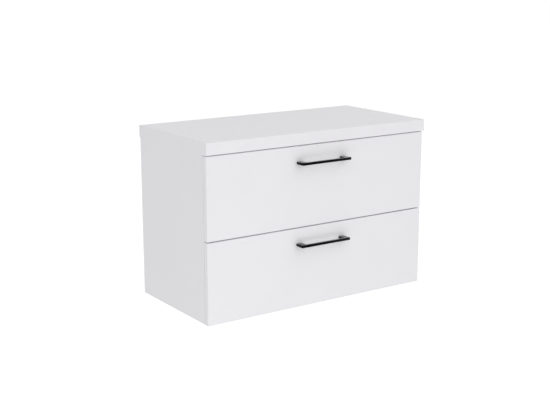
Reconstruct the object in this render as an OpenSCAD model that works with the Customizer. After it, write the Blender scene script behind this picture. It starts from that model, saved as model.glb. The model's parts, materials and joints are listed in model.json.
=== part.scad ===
// Floating vanity: a wall-hung bathroom cabinet with a plain worktop and two full-extension drawers.
// +X is to the user's right, -Y is towards the user and +Z is up. The origin lies on the wall, in
// the middle of the four wall screws, and the back edges of the side panels touch the wall.

/* [Carcass] */
// Width over both side panels
carcass_w = 800; // [600:10:1200]
// Height of the side panels
carcass_h = 500; // [480:5:640]
// Thickness of every carcass board
board_t = 16; // [15:0.5:19]
// Width of the top rails and height of the back rails
rail_w = 80; // [76:2:110]
// Empty space between the back rails and the wall
wall_recess = 20; // [18:1:30]
// Clear space between the wall hangers and the drawer boxes
back_space = 5.5; // [2:0.5:100]
// Rounding of the banded edges of the boards
edge_r = 1; // [0.5:0.25:2]

/* [Worktop] */
// Thickness of the worktop
worktop_t = 37; // [28:1:60]
// How far the worktop stands over each side panel
side_overhang = 3; // [1:0.5:20]
// How far the worktop stands over the drawer fronts
front_overhang = 6; // [1:0.5:25]
// Rounding of the worktop's edges
worktop_edge_r = 2; // [0.5:0.5:5]

/* [Drawer fronts] */
// Thickness of a drawer front
front_t = 16; // [15:0.5:22]
// Gap above each drawer front
front_gap = 3; // [2:0.5:5]
// Gap that the rubber buffers keep between the carcass and the fronts
buffer_gap = 2; // [1.5:0.1:3]
// Rounding of the edges round a front's face
front_edge_r = 1.5; // [0.5:0.25:4]

/* [Handles] */
// Distance between a handle's two screws
handle_centres = 160; // [96:32:320]
// Width of a handle leg
handle_leg_w = 20; // [10:1:30]
// Height of the handle's flat section
handle_h = 8; // [6:0.5:14]
// How far the handle stands out from the drawer front
handle_reach = 32; // [26:1:45]
// Depth of the bar between the legs
handle_bar_d = 8; // [5:0.5:12]
// From a front's top edge down to its handle's middle
handle_drop = 50; // [30:1:60]

/* [Drawer boxes] */
// Thickness of the box sides, fronts and backs
box_t = 12; // [10:0.5:15]
// Height of the box sides
box_h = 150; // [120:5:160]
// From a drawer front's lower edge up to its box
box_lift = 30; // [24:1:34]
// Thickness of the box bottom
box_bottom_t = 6; // [4:0.5:8]
// Clear width of the recess round the waste trap
trap_w = 220; // [160:5:300]
// Depth of that recess, from the back of the box
trap_d = 170; // [120:5:200]
// Rounding of the recess's inner corners
trap_corner_r = 40; // [25:1:60]
// Wall thickness of the moulded trap surround
trap_wall = 4; // [3.5:0.5:6]
// Rounding of the top edges of the box boards and the trap surround
box_edge_r = 1.5; // [0.5:0.25:1.7]

/* [Runners] */
// Length of each runner member
runner_l = 300; // [250:50:500]
// Height of the runner
runner_h = 45.7; // [43:0.1:50]
// Thickness of the rolled steel
sheet_t = 1.2; // [1:0.05:1.3]
// Radius of the bearing balls
ball_r = 2.4; // [2.2:0.05:2.5]
// Balls in one row
ball_count = 6; // [3:1:8]
// Length of a ball retainer
retainer_l = 100; // [80:5:120]
// From the lower edge of a box up to the runner's centre line
runner_rise = 50; // [40:1:80]

/* [Wall hangers] */
// From the top of the carcass down to the middle of the wall screws
hang_drop = 84; // [80:1:90]
// Height between the two screws of a wall plate
plate_pitch = 25; // [22:1:28]
// Radius of the wall plate's screw holes
plate_hole_r = 3; // [2.5:0.25:3.5]
// Width of a wall plate
plate_w = 50; // [40:1:70]
// Width of the hanger housing
hanger_w = 18; // [16:0.5:20]
// Depth of the hanger housing
hanger_d = 30; // [28:1:32]

/* [Hidden] */
$fn = 48;

// Colours
lacquer_white = "#e8e8ea";
board_white = "#e2e2e2";
box_grey = "#cfd0d1";
handle_black = "#121212";
zinc = "#b9bcc0";
beech = "#c9a878";
moulded_white = "#dcdddd";
rubber_clear = "#c8ccd0";

// Clearances
fit_gap = 0.05;    // radial, round a dowel, bolt or screw in its hole
screw_gap = 0.35;  // radial, where a screw only passes through
seat_gap = 0.3;    // between parts that close on each other
end_gap = 0.5;     // left at the bottom of a blind hole
over = 1;          // how far a cut runs past the face that it opens

// Levels and planes of the carcass, whose depth is what the runners and the hangers need
cap_t = 2.5;       // hanger cover cap
runner_inset = 2;  // from the carcass's front edge
carcass_d = runner_inset + runner_l + back_space + cap_t + hanger_d + board_t + wall_recess;
top_z = hang_drop;
base_z = top_z - carcass_h;
floor_z = base_z + board_t;
inner_x = carcass_w / 2 - board_t;
front_edge_y = -carcass_d;
rail_back_y = -wall_recess;
rail_front_y = rail_back_y - board_t;
hanging_rail_z = top_z - board_t - rail_w;

// Planes of the drawer fronts, which stand in two equal rows
front_back_y = front_edge_y - buffer_gap;
front_face_y = front_back_y - front_t;
front_h = (carcass_h - 2 * front_gap) / 2;
worktop_front_y = front_face_y - front_overhang;
LOWER = 0;
UPPER = 1;
function front_z(level) = base_z + level * (front_h + front_gap);

// Screws
screw_r = 2;
big_screw_r = 2.5; // cam bolts and runner channel screws
screw_bite = 11;   // how far a screw, bolt or dowel goes into a side panel
pan_r = 4;
pan_h = 2.4;
recess_r = 2.2;    // cross recess in a screw head
recess_w = 1;
recess_deep = 1.2;

// Cams, their bolts and the dowels beside them
cam_r = 7.5;
cam_skin = 3.7;    // board left over a cam
cam_inset = 24;    // from a board's end to its cam
cam_edge = 24;     // from a rail's long edge to its cam
bottom_cam_edge = 40;
cam_recess_r = 4.5;
bolt_head_r = 3.2;
bolt_head_h = 3;
bolt_collar_h = 1.5;
dowel_r = 4;
dowel_in_board = 20;
dowel_edge = 10;   // from a rail's other long edge to its dowel

// The joints between the side panels and the boards that run across, as [y, z] on the panel,
// with the way that the cam is bored: 1 from above, -1 from below, 0 from behind
bottom_mid_z = base_z + board_t / 2;
rail_mid_z = top_z - board_t / 2;
rail_mid_y = rail_back_y - board_t / 2;
BOTTOM_CAMS = [
    [front_edge_y + bottom_cam_edge, bottom_mid_z, 1],
    [rail_back_y - bottom_cam_edge, bottom_mid_z, 1],
];
FRONT_RAIL_CAM = [front_edge_y + cam_edge, rail_mid_z, -1];
REAR_RAIL_CAM = [rail_back_y - rail_w + cam_edge, rail_mid_z, -1];
HANGING_RAIL_CAM = [rail_mid_y, hanging_rail_z + cam_edge, 0];
BACK_RAIL_CAM = [rail_mid_y, floor_z + cam_edge, 0];
CAMS = concat(BOTTOM_CAMS, [FRONT_RAIL_CAM, REAR_RAIL_CAM, HANGING_RAIL_CAM, BACK_RAIL_CAM]);
BOTTOM_DOWEL = [(front_edge_y + rail_back_y) / 2, bottom_mid_z];
FRONT_RAIL_DOWEL = [front_edge_y + rail_w - dowel_edge, rail_mid_z];
REAR_RAIL_DOWEL = [rail_back_y - dowel_edge, rail_mid_z];
HANGING_RAIL_DOWEL = [rail_mid_y, hanging_rail_z + rail_w - dowel_edge];
BACK_RAIL_DOWEL = [rail_mid_y, floor_z + rail_w - dowel_edge];
DOWELS = [BOTTOM_DOWEL, FRONT_RAIL_DOWEL, REAR_RAIL_DOWEL, HANGING_RAIL_DOWEL, BACK_RAIL_DOWEL];

// Screws that hold the worktop, up through the top rails
worktop_screw_inset = 100;
worktop_screw_x = carcass_w / 2 - worktop_screw_inset;
WORKTOP_SCREW_Y = [front_edge_y + rail_w / 2, rail_back_y - rail_w / 2];
worktop_screw_bite = 18;

// Rubber buffers on the front edges of the side panels
buffer_r = 4;
buffer_inset = 20; // from a drawer front's corner

// Runner section, drawn with x from the side panel to the drawer box and y as the height
race_gap = 0.15;
race_r = ball_r + race_gap;
race_mid_r = race_r + sheet_t / 2;
web_space = 1;     // between the channel's web and the middle member's
race_turn = 54;    // slope of the line from an outer ball down to its inner ball
race_lap = 1;      // degrees by which neighbouring bends overlap
TO_INNER_BALL = 360 - race_turn;
TO_OUTER_BALL = 180 - race_turn;
MIDDLE_RACE_FROM = 5;
SLIDE_RACE_FROM = 218;
SLIDE_RACE_TO = 270;
SECTOR_STEP = 45;
outer_ball = [race_r + sheet_t, runner_h / 2 - race_r - sheet_t];
inner_ball = outer_ball + 2 * race_mid_r * [cos(race_turn), -sin(race_turn)];
runner_d = inner_ball.x + race_r + 2 * sheet_t + seat_gap;
middle_web_x = sheet_t + web_space;
middle_web_angle = 180 + acos((outer_ball.x - middle_web_x - sheet_t / 2) / race_mid_r);
slide_flange_y = inner_ball.y - race_r;

// Runner length and its screws
runner_front_y = front_edge_y + runner_inset;
runner_back_y = runner_front_y + runner_l;
runner_mid_y = runner_front_y + runner_l / 2;
runner_hole_inset = 35;
RUNNER_HOLE_Y = [for (i = [-1:1]) runner_mid_y + i * (runner_l / 2 - runner_hole_inset)];
access_r = 5.5;    // screwdriver holes in the middle member
stop_h = 16;       // height of the lug that stops the next member
stop_room = sheet_t + seat_gap;
csk_r = 4.4;
csk_h = 2.6;

// Ball retainers
retainer_t = 0.5;
retainer_gap = 0.12;
retainer_end = 8;  // from a retainer's end to its first ball
outer_retainer_x = sheet_t + (web_space - retainer_t) / 2;
inner_retainer_x = middle_web_x + sheet_t + (web_space - retainer_t) / 2;
ball_pitch = (retainer_l - 2 * retainer_end) / (ball_count - 1);
BALL_Y = [for (i = [0:ball_count - 1]) runner_mid_y + (i - (ball_count - 1) / 2) * ball_pitch];

// Drawer boxes
box_x = inner_x - runner_d;
box_inner_x = box_x - box_t;
box_back_y = runner_back_y;
groove_deep = box_t / 2;
groove_up = 10;
groove_h = box_bottom_t + 2 * fit_gap;
trap_outer_x = trap_w / 2 + trap_wall;
box_screw_bite = box_t - 2;
box_dowel_r = 3;
box_dowel_bite = 8;
box_dowel_edge = 30;
BOX_DOWEL_Y = [front_back_y + box_t / 2, box_back_y - box_t / 2];
front_screw_inset = 60;
front_screw_x = box_inner_x - front_screw_inset;
front_screw_bite = 12;
front_screw_edge = 40;
function box_z(level) = front_z(level) + box_lift;
function runner_z(level) = box_z(level) + runner_rise;
function front_screw_z(level) = [box_z(level) + front_screw_edge, box_z(level) + box_h - front_screw_edge];
function box_dowel_z(level) = [box_z(level) + box_dowel_edge, box_z(level) + box_h - box_dowel_edge];

// Handles
handle_l = handle_centres + handle_leg_w;
handle_outer_r = 1;
handle_inner_r = 1.5;
handle_screw_bite = 8;
function handle_z(level) = front_z(level) + front_h - handle_drop;

// Hangers: a hook hangs on the raised lip of each wall plate
plate_t = 2;
plate_margin = 9.5;    // from a plate's outer screw to its edge
plate_side_gap = 3;
lip_step = 9;          // how far the lip stands out from the wall
lip_h = 12;
plate_bend_r = 1;      // inside each fold
plate_corner_r = 4;
plate_h = plate_pitch + 2 * plate_margin;
plate_x = inner_x - plate_side_gap - plate_w / 2;
hook_seat_z = plate_h / 2 + lip_h;
hook_arm_h = 11;
hook_t = 4;
hook_nose_d = 3;
hook_corner_r = 2.5;
hook_tip_r = 1.2;
hook_nose_y = -lip_step + plate_t + seat_gap;
hook_slot_gap = 2;
hook_travel = 5;       // room for the hook to be adjusted up and down
hanger_wall = 3;
HANGER_Y = [rail_front_y - hanger_d, rail_front_y];
hanger_drop = 30;      // from the hook's seat down to the housing's lower edge
hanger_top_gap = 1;
hanger_peg_edge = 12;
low_screw_edge = 14;
high_screw_edge = 10;
HANGER_Z = [hook_seat_z - hanger_drop, top_z - board_t - hanger_top_gap];
HANGER_PEG_Z = [HANGER_Z[0] + hanger_peg_edge, HANGER_Z[1] - hanger_peg_edge];
HANGER_SCREW_Z = [HANGER_Z[0] + low_screw_edge, HANGER_Z[1] - high_screw_edge];
hanger_mid_x = -inner_x + hanger_w / 2;
hanger_mid_y = (HANGER_Y[0] + HANGER_Y[1]) / 2;
hanger_mid_z = (HANGER_Z[0] + HANGER_Z[1]) / 2;
hanger_peg_r = 4;
hanger_peg_bite = 8.5;
hanger_screw_r = 3;
hanger_screw_l = 22;
hook_plate_inset = 8;  // from the housing's front
hook_plate_gap = 2;    // to the rail
hook_block_inset = 12; // from the housing's front
hook_block_d = 8;
hook_block_edge = 5;
HOOK_PLATE_Y = [HANGER_Y[0] + hook_plate_inset, rail_front_y - hook_plate_gap];
HOOK_BLOCK_Y = [HANGER_Y[0] + hook_block_inset, HANGER_Y[0] + hook_block_inset + hook_block_d];
cap_peg_edge = 5;
CAP_PEG_Z = [HANGER_Z[0] + cap_peg_edge, hanger_mid_z];
cap_r = 2;
cap_peg_r = 1.5;

// ---------- shapes that repeat ----------

module block(low, high) {
    translate(low) cube(high - low);
}

module rod_x(at, l, r) {
    translate(at) rotate([0, 90, 0]) cylinder(h = l, r = r);
}

module rod_y(at, l, r) {
    translate(at) rotate([-90, 0, 0]) cylinder(h = l, r = r);
}

module on_right() {
    mirror([1, 0, 0]) children();
}

module both_sides() {
    children();
    on_right() children();
}

// A rectangle centred on x, with its two corners at y = 0 rounded
module soft_edge_rectangle(w, d, r) {
    translate([-w / 2 + r, 0]) square([w - 2 * r, d]);
    translate([-w / 2, r]) square([w, d - r]);
    for (s = [-1, 1]) translate([s * (w / 2 - r), r]) circle(r = r);
}

// A rectangle centred on both axes, with all its corners rounded
module soft_corner_rectangle(w, h, r) {
    square([w - 2 * r, h], center = true);
    square([w, h - 2 * r], center = true);
    for (x = [-1, 1], y = [-1, 1]) translate([x * (w / 2 - r), y * (h / 2 - r)]) circle(r = r);
}

// What lies between a sharp corner and its round; way says on which side of the corner the round lies
module corner_waste(at, way, r, past = 0) {
    difference() {
        translate([at[0] - way[0] * past, at[1] - way[1] * past]) mirror([way[0] < 0 ? 1 : 0, 0])
            mirror([0, way[1] < 0 ? 1 : 0]) square(r + past);
        translate([at[0] + way[0] * r, at[1] + way[1] * r]) circle(r = r);
    }
}

// A board centred on x, with the four edges round its front face rounded
module soft_board(w, y0, y1, z0, z1, r) {
    intersection() {
        translate([0, y0, z0]) linear_extrude(z1 - z0) soft_edge_rectangle(w, y1 - y0, r);
        translate([-w / 2, y0, (z0 + z1) / 2]) rotate([0, 90, 0]) linear_extrude(w)
            soft_edge_rectangle(z1 - z0, y1 - y0, r);
    }
}

// A cross-shaped recess cut along +Y
module cross_recess(r = recess_r) {
    for (a = [0, 90]) rotate([0, a, 0])
        block([-r, -over, -recess_w / 2], [r, recess_deep, recess_w / 2]);
}

// A pan-head screw that points along +Y, with its head's seat at the origin
module pan_screw(l) {
    rod_y([0, 0, 0], l, screw_r);
    difference() {
        rod_y([0, -pan_h, 0], pan_h, pan_r);
        translate([0, -pan_h, 0]) cross_recess();
    }
}

// ---------- carcass ----------

module side_panel() {
    color(lacquer_white) difference() {
        translate([-inner_x - board_t / 2, 0, base_z]) intersection() {
            translate([0, front_edge_y, 0]) linear_extrude(carcass_h)
                soft_edge_rectangle(board_t, carcass_d, edge_r);
            rotate([90, 0, 0]) linear_extrude(carcass_d) soft_edge_rectangle(board_t, carcass_h, edge_r);
        }
        for (c = CAMS) rod_x([-inner_x - screw_bite, c[0], c[1]], screw_bite + over, big_screw_r + fit_gap);
        for (d = DOWELS) rod_x([-inner_x - screw_bite, d[0], d[1]], screw_bite + over, dowel_r + fit_gap);
        for (level = [LOWER, UPPER], y = RUNNER_HOLE_Y)
            on_left_panel(level) translate([0, y, 0]) channel_screw_body(fit_gap);
        hanger_pegs(fit_gap);
    }
}

// What is bored into the two ends of a cross board: its cams, their bolts and its dowel
module end_bores(cams, dowel) {
    both_sides() {
        for (c = cams) {
            rod_x([-inner_x - over, c[0], c[1]], cam_inset + over, bolt_head_r + seat_gap);
            cam_body(c, over, fit_gap);
        }
        rod_x([-inner_x - over, dowel[0], dowel[1]], dowel_in_board + end_gap + over, dowel_r + fit_gap);
    }
}

// Puts children on the left end of a cross board, with +Z as the way that the cam is bored
module at_cam(c) {
    turn = c[2] == 0 ? [90, 0, 0] : c[2] > 0 ? [180, 0, 0] : [0, 0, 0];
    mouth = c[2] == 0 ? [0, board_t / 2, 0] : [0, 0, c[2] * board_t / 2];
    translate([-inner_x + cam_inset, c[0], c[1]] + mouth) rotate(turn) children();
}

module cam_body(c, past, gap) {
    at_cam(c) translate([0, 0, -past]) cylinder(h = board_t - cam_skin + past, r = cam_r + gap);
}

module cam_lock(c) {
    difference() {
        cam_body(c, 0, 0);
        at_cam(c) translate([0, 0, board_t / 2]) {
            rotate([0, -90, 0]) cylinder(h = cam_r + over, r = bolt_head_r + seat_gap);
            sphere(r = bolt_head_r + seat_gap);
        }
        at_cam(c) rotate([90, 0, 0]) cross_recess(cam_recess_r);
    }
}

module cam_bolt(c) {
    translate([-inner_x, c[0], c[1]]) {
        rod_x([-screw_bite, 0, 0], screw_bite, big_screw_r);
        rod_x([0, 0, 0], bolt_collar_h, bolt_head_r);
        rod_x([0, 0, 0], cam_inset, screw_r);
        rod_x([cam_inset - bolt_head_h + over, 0, 0], bolt_head_h, bolt_head_r);
    }
}

module cam_locks() {
    color(zinc) both_sides() for (c = CAMS) cam_lock(c);
}

module cam_bolts() {
    color(zinc) both_sides() for (c = CAMS) cam_bolt(c);
}

module wooden_dowels() {
    color(beech) both_sides() for (d = DOWELS)
        rod_x([-inner_x - screw_bite + end_gap, d[0], d[1]], screw_bite + dowel_in_board - end_gap, dowel_r);
}

// A board that lies flat between the side panels, with its front edge rounded
module cross_board(y0, y1, z0) {
    translate([-inner_x, y0, z0 + board_t / 2]) rotate([0, 90, 0]) linear_extrude(2 * inner_x)
        soft_edge_rectangle(board_t, y1 - y0, edge_r);
}

module bottom_panel() {
    color(board_white) difference() {
        cross_board(front_edge_y, rail_back_y, base_z);
        end_bores(BOTTOM_CAMS, BOTTOM_DOWEL);
    }
}

module top_rail(y0, cam, dowel, screw_y) {
    color(board_white) difference() {
        cross_board(y0, y0 + rail_w, top_z - board_t);
        end_bores([cam], dowel);
        for (s = [-1, 1]) translate([s * worktop_screw_x, screw_y, top_z - board_t - over])
            cylinder(h = board_t + 2 * over, r = screw_r + screw_gap);
    }
}

module back_rail(z0, cam, dowel) {
    difference() {
        block([-inner_x, rail_front_y, z0], [inner_x, rail_back_y, z0 + rail_w]);
        end_bores([cam], dowel);
    }
}

module hanging_rail() {
    slot_x = hook_t / 2 + hook_slot_gap;
    color(board_white) difference() {
        back_rail(hanging_rail_z, HANGING_RAIL_CAM, HANGING_RAIL_DOWEL);
        both_sides()
            block([hanger_mid_x - slot_x, rail_front_y - over, hook_seat_z - hook_travel],
                  [hanger_mid_x + slot_x, rail_back_y + over, hook_seat_z + hook_arm_h + hook_travel]);
    }
}

module lower_back_rail() {
    color(board_white) back_rail(floor_z, BACK_RAIL_CAM, BACK_RAIL_DOWEL);
}

module worktop() {
    w = carcass_w + 2 * side_overhang;
    color(lacquer_white) difference() {
        intersection() {
            soft_board(w, worktop_front_y, 0, top_z, top_z + worktop_t, worktop_edge_r);
            translate([0, over, top_z + worktop_t]) rotate([90, 0, 0])
                linear_extrude(2 * over - worktop_front_y)
                    mirror([0, 1]) soft_edge_rectangle(w, worktop_t + over, worktop_edge_r);
        }
        for (s = [-1, 1], y = WORKTOP_SCREW_Y) translate([s * worktop_screw_x, y, top_z - over])
            cylinder(h = worktop_screw_bite + end_gap + over, r = screw_r + fit_gap);
    }
}

module worktop_screws() {
    color(zinc) for (s = [-1, 1], y = WORKTOP_SCREW_Y)
        translate([s * worktop_screw_x, y, top_z - board_t]) rotate([90, 0, 0])
            pan_screw(board_t + worktop_screw_bite);
}

module front_buffers() {
    corners = [for (level = [LOWER, UPPER], up = [buffer_inset, front_h - buffer_inset]) front_z(level) + up];
    l = buffer_gap - seat_gap;
    color(rubber_clear) both_sides() for (z = corners)
        rod_y([-inner_x - board_t / 2, front_edge_y - l, z], l, buffer_r);
}

// ---------- wall hangers ----------

module hanger_pegs(gap) {
    for (z = HANGER_PEG_Z)
        rod_x([-inner_x - hanger_peg_bite - gap, hanger_mid_y, z],
              hanger_peg_bite + gap + hanger_wall / 2, hanger_peg_r + gap);
}

// A moulded box, open to the back, whose pegs press into the side panel
module hanger_housing() {
    color(moulded_white) {
        difference() {
            block([-inner_x, HANGER_Y[0], HANGER_Z[0]], [-inner_x + hanger_w, HANGER_Y[1], HANGER_Z[1]]);
            block([-inner_x + hanger_wall, HANGER_Y[0] + hanger_wall, HANGER_Z[0] + hanger_wall],
                  [-inner_x + hanger_w - hanger_wall, HANGER_Y[1] + over, HANGER_Z[1] - hanger_wall]);
            for (z = HANGER_SCREW_Z)
                rod_y([hanger_mid_x, HANGER_Y[0] - over, z],
                      hanger_wall + 2 * over, hanger_screw_r + screw_gap);
            cap_pegs(fit_gap);
        }
        hanger_pegs(0);
    }
}

// The hook seen from the side: a plate in the housing, an arm through the rail and a nose behind the lip
module hook_outline() {
    arm_top = hook_seat_z + hook_arm_h;
    plate_low = HANGER_Z[0] + 2 * hanger_wall;
    nose_back_y = hook_nose_y + hook_nose_d;
    nose_low = plate_h / 2 + plate_t;
    difference() {
        union() {
            translate([HOOK_PLATE_Y[0], plate_low])
                square([HOOK_PLATE_Y[1] - HOOK_PLATE_Y[0], arm_top - plate_low]);
            translate([HOOK_PLATE_Y[0], hook_seat_z]) square([nose_back_y - HOOK_PLATE_Y[0], hook_arm_h]);
            translate([hook_nose_y, nose_low]) square([hook_nose_d, lip_h]);
        }
        corner_waste([HOOK_PLATE_Y[0], arm_top], [1, -1], hook_corner_r, over);
        corner_waste([nose_back_y, arm_top], [-1, -1], hook_corner_r, over);
        corner_waste([HOOK_PLATE_Y[0], plate_low], [1, 1], hook_corner_r, over);
        corner_waste([HOOK_PLATE_Y[1], plate_low], [-1, 1], hook_corner_r, over);
        corner_waste([hook_nose_y, nose_low], [1, 1], hook_tip_r, over);
        corner_waste([nose_back_y, nose_low], [-1, 1], hook_tip_r, over);
    }
}

module hanger_hook() {
    side = hanger_w / 2 - hanger_wall - seat_gap;
    color(zinc) difference() {
        union() {
            translate([hanger_mid_x - hook_t / 2, 0, 0]) rotate([90, 0, 90]) linear_extrude(hook_t)
                hook_outline();
            block([hanger_mid_x - side, HOOK_BLOCK_Y[0], HANGER_SCREW_Z[0] - hook_block_edge],
                  [hanger_mid_x + side, HOOK_BLOCK_Y[1], HANGER_SCREW_Z[1] + hook_block_edge]);
        }
        for (z = HANGER_SCREW_Z)
            rod_y([hanger_mid_x, HANGER_Y[0], z], hanger_screw_l + over, hanger_screw_r + fit_gap);
    }
}

module hanger_adjusting_screws() {
    color(zinc) both_sides() for (z = HANGER_SCREW_Z)
        translate([hanger_mid_x, HANGER_Y[0] + seat_gap, z]) difference() {
            rod_y([0, 0, 0], hanger_screw_l, hanger_screw_r);
            cross_recess();
        }
}

module cap_pegs(gap) {
    for (z = CAP_PEG_Z) rod_y([hanger_mid_x + hanger_w / 4, HANGER_Y[0] - cap_t / 2, z],
                              cap_t / 2 + hanger_wall, cap_peg_r + gap);
}

module hanger_cover_caps() {
    color(moulded_white) both_sides() {
        translate([hanger_mid_x, HANGER_Y[0], hanger_mid_z]) rotate([90, 0, 0])
            linear_extrude(cap_t) soft_corner_rectangle(hanger_w, HANGER_Z[1] - HANGER_Z[0], cap_r);
        cap_pegs(0);
    }
}

// A wall plate seen from the side: flat on the wall, folded out, and folded up again into a lip
module plate_section() {
    fold_low = plate_h / 2 - plate_t;
    difference() {
        union() {
            translate([-plate_t, -plate_h / 2]) square([plate_t, plate_h]);
            translate([-lip_step, fold_low]) square([lip_step, plate_t]);
            translate([-lip_step, fold_low]) square([plate_t, plate_t + lip_h]);
            corner_waste([-plate_t, fold_low], [-1, -1], plate_bend_r);
            corner_waste([-lip_step + plate_t, plate_h / 2], [1, 1], plate_bend_r);
        }
        corner_waste([0, plate_h / 2], [-1, -1], plate_bend_r + plate_t, over);
        corner_waste([-lip_step, fold_low], [1, 1], plate_bend_r + plate_t, over);
    }
}

// Two pressed steel plates, folded out at the top so that a hook can drop behind the lip
module wall_plates() {
    full_h = plate_h + lip_h;
    color(zinc) both_sides() difference() {
        intersection() {
            translate([-plate_x - plate_w / 2, 0, 0]) rotate([90, 0, 90]) linear_extrude(plate_w)
                plate_section();
            translate([-plate_x, 0, (full_h - plate_h) / 2]) rotate([90, 0, 0])
                linear_extrude(lip_step) soft_corner_rectangle(plate_w, full_h, plate_corner_r);
        }
        for (s = [-1, 1])
            rod_y([-plate_x, -plate_t - over, s * plate_pitch / 2], plate_t + 2 * over, plate_hole_r);
    }
}

// ---------- runners ----------

module sector(from, to) {
    steps = ceil((to - from) / SECTOR_STEP);
    reach = 2 * (race_r + sheet_t);
    polygon([[0, 0], for (i = [0:steps]) let (a = from + (to - from) * i / steps) reach * [cos(a), sin(a)]]);
}

// A stretch of rolled sheet that curves round a row of balls
module race(ball, from, to) {
    translate(ball) intersection() {
        difference() {
            circle(r = race_r + sheet_t);
            circle(r = race_r);
        }
        sector(from, to);
    }
}

module both_rows() {
    children();
    mirror([0, 1]) children();
}

module channel_section() {
    both_rows() race(outer_ball, 0, 180);
    translate([0, -outer_ball.y]) square([sheet_t, 2 * outer_ball.y]);
}

module middle_section() {
    web_top = outer_ball.y + race_mid_r * sin(middle_web_angle);
    both_rows() {
        race(outer_ball, middle_web_angle, TO_INNER_BALL);
        race(inner_ball, MIDDLE_RACE_FROM, TO_OUTER_BALL + race_lap);
    }
    translate([middle_web_x, -web_top]) square([sheet_t, 2 * web_top]);
}

module slide_section() {
    both_rows() {
        race(inner_ball, SLIDE_RACE_FROM, SLIDE_RACE_TO + race_lap);
        translate([inner_ball.x, slide_flange_y - sheet_t]) square([runner_d - inner_ball.x, sheet_t]);
    }
    translate([runner_d - sheet_t, -slide_flange_y]) square([sheet_t, 2 * slide_flange_y]);
}

// A web with two flanges that reach in between the balls
module retainer_section(x, ball) {
    both_rows() translate([x, ball.y - retainer_t / 2]) square([ball.x + ball_r / 2 - x, retainer_t]);
    translate([x, -ball.y - retainer_t / 2]) square([retainer_t, 2 * ball.y + retainer_t]);
}

module on_left_panel(level) {
    translate([-inner_x, 0, runner_z(level)]) children();
}

// Sweeps a runner section along the runner's length between y0 and y1
module along_runner(level, y0, y1) {
    on_left_panel(level) translate([0, y1, 0]) rotate([90, 0, 0]) linear_extrude(y1 - y0) children();
}

// The lug at a member's back end, bent out from x0 to x1, that the next member comes to rest on
module stop_lug(level, back_y, x0, x1) {
    on_left_panel(level) block([x0, back_y - sheet_t, -stop_h / 2], [x1, back_y, stop_h / 2]);
}

// The countersunk screw that holds a channel, pointing into the side panel
module channel_screw_body(gap) {
    rod_x([-screw_bite, 0, 0], screw_bite + sheet_t / 2, big_screw_r + gap);
    translate([sheet_t, 0, 0]) rotate([0, -90, 0])
        cylinder(h = csk_h, r1 = csk_r + gap, r2 = big_screw_r + gap);
}

module runner_channel(level) {
    color(zinc) difference() {
        union() {
            along_runner(level, runner_front_y, runner_back_y) channel_section();
            stop_lug(level, runner_back_y, 0, middle_web_x + sheet_t);
        }
        on_left_panel(level) for (y = RUNNER_HOLE_Y) translate([0, y, 0]) channel_screw_body(fit_gap);
    }
}

module runner_channel_screws() {
    color(zinc) both_sides() for (level = [LOWER, UPPER], y = RUNNER_HOLE_Y)
        on_left_panel(level) translate([0, y, 0]) difference() {
            channel_screw_body(0);
            translate([sheet_t, 0, 0]) rotate([0, 0, 90]) cross_recess();
        }
}

module runner_middle(level) {
    back_y = runner_back_y - stop_room;
    color(zinc) difference() {
        union() {
            along_runner(level, runner_front_y, back_y) middle_section();
            stop_lug(level, back_y, middle_web_x, runner_d - seat_gap);
        }
        on_left_panel(level) for (y = RUNNER_HOLE_Y)
            rod_x([middle_web_x - over, y, 0], sheet_t + 2 * over, access_r);
    }
}

module runner_slide(level) {
    color(zinc) difference() {
        along_runner(level, runner_front_y, runner_back_y - 2 * stop_room) slide_section();
        on_left_panel(level) for (y = RUNNER_HOLE_Y)
            rod_x([runner_d - sheet_t - over, y, 0], sheet_t + 2 * over, screw_r + fit_gap);
    }
}

module runner_slide_screws(level) {
    color(zinc) both_sides() on_left_panel(level) for (y = RUNNER_HOLE_Y)
        translate([runner_d - sheet_t, y, 0]) rotate([0, 0, -90]) pan_screw(sheet_t + box_screw_bite);
}

module ball_row(ball, r) {
    for (y = BALL_Y, s = [-1, 1]) translate([ball.x, y, s * ball.y]) sphere(r = r);
}

module ball_retainer(level, x, ball) {
    color(zinc) both_sides() {
        difference() {
            along_runner(level, runner_mid_y - retainer_l / 2, runner_mid_y + retainer_l / 2)
                retainer_section(x, ball);
            on_left_panel(level) ball_row(ball, ball_r + retainer_gap);
        }
        on_left_panel(level) ball_row(ball, ball_r);
    }
}

// ---------- drawers ----------

module drawer_front(level) {
    z0 = front_z(level);
    color(lacquer_white) difference() {
        soft_board(carcass_w, front_face_y, front_back_y, z0, z0 + front_h, front_edge_r);
        for (s = [-1, 1]) {
            rod_y([s * handle_centres / 2, front_face_y - over, handle_z(level)],
                  front_t + 2 * over, screw_r + screw_gap);
            for (z = front_screw_z(level))
                rod_y([s * front_screw_x, front_back_y - front_screw_bite, z],
                      front_screw_bite + over, screw_r + fit_gap);
        }
    }
}

// A flat bar bent out from the front on two wide legs, a shallow U seen from above
module handle(level) {
    hole_deep = handle_screw_bite + end_gap;
    color(handle_black) difference() {
        translate([0, front_face_y - handle_reach, handle_z(level) - handle_h / 2])
            linear_extrude(handle_h) difference() {
                soft_edge_rectangle(handle_l, handle_reach, handle_outer_r);
                translate([0, handle_bar_d])
                    soft_edge_rectangle(handle_centres - handle_leg_w, handle_reach, handle_inner_r);
            }
        for (s = [-1, 1]) rod_y([s * handle_centres / 2, front_face_y - hole_deep, handle_z(level)],
                                hole_deep + over, screw_r + fit_gap);
    }
}

module handle_screws(level) {
    color(zinc) for (s = [-1, 1]) translate([s * handle_centres / 2, front_back_y, handle_z(level)])
        rotate(180) pan_screw(front_t + handle_screw_bite);
}

module front_screws(level) {
    color(zinc) for (s = [-1, 1], z = front_screw_z(level))
        translate([s * front_screw_x, front_back_y + box_t, z])
            rotate(180) pan_screw(box_t + front_screw_bite - end_gap);
}

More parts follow.
